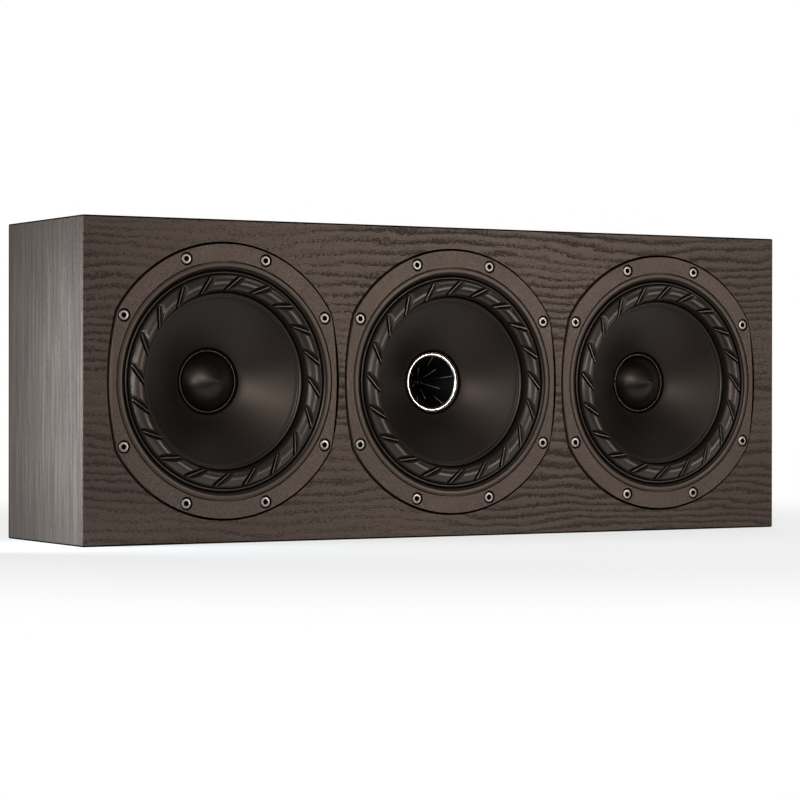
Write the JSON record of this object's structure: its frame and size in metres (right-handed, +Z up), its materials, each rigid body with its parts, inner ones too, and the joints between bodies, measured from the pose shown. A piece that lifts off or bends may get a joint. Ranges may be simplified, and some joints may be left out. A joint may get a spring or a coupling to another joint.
{
  "type": "center channel speaker",
  "caption": "Wide, shallow closed-box loudspeaker with a coaxial driver between matching bass drivers and binding posts in a rear cup.",
  "frame": {"origin": "middle of the cabinet's bottom face", "axes": "+X to the right seen from the front, +Y to the rear, +Z up"},
  "size_m": [0.52, 0.1226, 0.2],
  "materials": {
    "front_veneer": "open-grained dark oak foil, grain along the length",
    "carcass_veneer": "dark oak foil",
    "rear_board": "black painted board",
    "raw_board": "bare fibreboard",
    "damping_foam": "soft fleece",
    "basket_alloy": "satin textured dark coating",
    "trim_metal": "satin dark coating",
    "surround_rubber": "satin rubber",
    "cone_paper": "black doped pulp",
    "former_film": "glass-filled film",
    "copper": "enamelled copper",
    "spider_cloth": "resin-stiffened cloth",
    "motor_steel": "blackened steel",
    "ferrite": "sintered ferrite",
    "plug_plastic": "satin black",
    "horn_plastic": "matt black",
    "bright_ring": "bright plated",
    "dome_metal": "plain",
    "plated_magnet": "nickel plated",
    "cover_plastic": "moulded black",
    "screw_steel": "zinc plated",
    "cup_plastic": "moulded black",
    "black_screw": "blackened",
    "plated_brass": "gold plated",
    "red_plastic": "clear red",
    "black_plastic": "clear black",
    "circuit_laminate": "lacquered laminate",
    "spacer_nylon": "natural nylon",
    "capacitor_wrap": "film wrap",
    "resistor_ceramic": "cement filled"
  },
  "bodies": {
    "cabinet": {"black_post": "plated_brass", "board_spacers": "spacer_nylon", "bottom_panel": "carcass_veneer", "centre_basket": "basket_alloy", "centre_magnet": "ferrite", "centre_spider": "spider_cloth", "centre_surround": "surround_rubber", "centre_top_plate": "motor_steel", "centre_trim_ring": "trim_metal", "centre_yoke": "motor_steel", "crossover_board": "circuit_laminate", "crossover_capacitors": "capacitor_wrap", "crossover_inductors": "copper", "crossover_resistors": "resistor_ceramic", "damping_pads": "damping_foam", "driver_screws": "screw_steel", "front_baffle": "front_veneer", "hf_diaphragm": "dome_metal", "hf_horn": "horn_plastic", "hf_horn_ring": "bright_ring", "hf_magnet": "plated_magnet", "hf_rear_cover": "cover_plastic", "left_basket": "basket_alloy", "left_brace": "raw_board", "left_magnet": "ferrite", "left_panel": "carcass_veneer", "left_phase_plug": "plug_plastic", "left_spider": "spider_cloth", "left_surround": "surround_rubber", "left_top_plate": "motor_steel", "left_trim_ring": "trim_metal", "left_yoke": "motor_steel", "post_nuts": "plated_brass", "rear_panel": "rear_board", "red_post": "plated_brass", "right_basket": "basket_alloy", "right_brace": "raw_board", "right_magnet": "ferrite", "right_panel": "carcass_veneer", "right_phase_plug": "plug_plastic", "right_spider": "spider_cloth", "right_surround": "surround_rubber", "right_top_plate": "motor_steel", "right_trim_ring": "trim_metal", "right_yoke": "motor_steel", "terminal_cup": "cup_plastic", "terminal_cup_screws": "black_screw", "top_panel": "carcass_veneer"},
    "left_cone_assembly": {"left_cone": "cone_paper", "left_coil_former": "former_film", "left_coil_winding": "copper"},
    "centre_cone_assembly": {"centre_cone": "cone_paper", "centre_coil_former": "former_film", "centre_coil_winding": "copper"},
    "right_cone_assembly": {"right_cone": "cone_paper", "right_coil_former": "former_film", "right_coil_winding": "copper"},
    "red_terminal": {"red_cap": "red_plastic"},
    "black_terminal": {"black_cap": "black_plastic"}
  },
  "joints": [
    {"name": "left_cone_travel", "type": "slide", "parent": "cabinet", "child": "left_cone_assembly", "axis": [0, -1, 0], "range_m": [-0.003, 0.003], "stiffness_N_per_m": 1000, "deforming": ["left_surround", "left_spider"]},
    {"name": "centre_cone_travel", "type": "slide", "parent": "cabinet", "child": "centre_cone_assembly", "axis": [0, -1, 0], "range_m": [-0.003, 0.003], "stiffness_N_per_m": 1000, "deforming": ["centre_surround", "centre_spider"]},
    {"name": "right_cone_travel", "type": "slide", "parent": "cabinet", "child": "right_cone_assembly", "axis": [0, -1, 0], "range_m": [-0.003, 0.003], "stiffness_N_per_m": 1000, "deforming": ["right_surround", "right_spider"]},
    {"name": "red_cap_turn", "type": "hinge", "parent": "cabinet", "child": "red_terminal", "pos_m": [-0.17353, 0.05, 0.1], "axis": [0, 1, 0], "range_deg": [0, 720]},
    {"name": "black_cap_turn", "type": "hinge", "parent": "cabinet", "child": "black_terminal", "pos_m": [-0.15448, 0.05, 0.1], "axis": [0, 1, 0], "range_deg": [0, 720]}
  ]
}
